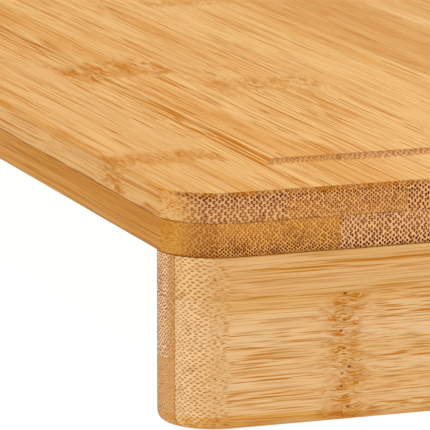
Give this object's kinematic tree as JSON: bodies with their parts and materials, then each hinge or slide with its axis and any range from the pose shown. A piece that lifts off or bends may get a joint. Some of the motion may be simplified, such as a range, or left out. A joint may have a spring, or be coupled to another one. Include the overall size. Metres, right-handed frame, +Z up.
{
  "type": "cutting board",
  "caption": "Raised laminated-bamboo cutting board with a shallow juice groove round its working face, standing on a rail under each end.",
  "frame": {"origin": "on the ground under the middle of the board, at the height of the rails' feet", "axes": "+X across the strips and along the rails, +Y along the strips from the front end to the back end, +Z up out of the working face"},
  "size_m": [0.28, 0.5, 0.0445],
  "materials": {
    "top_ply_bamboo": "satin, oiled, sanded smooth",
    "bottom_ply_bamboo": "satin, oiled, sanded smooth",
    "rail_outer_bamboo": "satin, oiled, sanded smooth",
    "rail_inner_bamboo": "satin, oiled, sanded smooth",
    "dowel_bamboo": "raw, turned"
  },
  "bodies": {
    "root": {"back_dowels": "dowel_bamboo", "back_rail_inner_lower": "rail_inner_bamboo", "back_rail_inner_upper": "rail_inner_bamboo", "back_rail_outer_lower": "rail_outer_bamboo", "back_rail_outer_upper": "rail_outer_bamboo", "bottom_strip_01": "bottom_ply_bamboo", "bottom_strip_02": "bottom_ply_bamboo", "bottom_strip_03": "bottom_ply_bamboo", "bottom_strip_04": "bottom_ply_bamboo", "bottom_strip_05": "bottom_ply_bamboo", "bottom_strip_06": "bottom_ply_bamboo", "bottom_strip_07": "bottom_ply_bamboo", "bottom_strip_08": "bottom_ply_bamboo", "bottom_strip_09": "bottom_ply_bamboo", "bottom_strip_10": "bottom_ply_bamboo", "bottom_strip_11": "bottom_ply_bamboo", "bottom_strip_12": "bottom_ply_bamboo", "bottom_strip_13": "bottom_ply_bamboo", "front_dowels": "dowel_bamboo", "front_rail_inner_lower": "rail_inner_bamboo", "front_rail_inner_upper": "rail_inner_bamboo", "front_rail_outer_lower": "rail_outer_bamboo", "front_rail_outer_upper": "rail_outer_bamboo", "top_strip_01": "top_ply_bamboo", "top_strip_02": "top_ply_bamboo", "top_strip_03": "top_ply_bamboo", "top_strip_04": "top_ply_bamboo", "top_strip_05": "top_ply_bamboo", "top_strip_06": "top_ply_bamboo", "top_strip_07": "top_ply_bamboo", "top_strip_08": "top_ply_bamboo", "top_strip_09": "top_ply_bamboo", "top_strip_10": "top_ply_bamboo", "top_strip_11": "top_ply_bamboo", "top_strip_12": "top_ply_bamboo"}
  },
  "joints": []
}
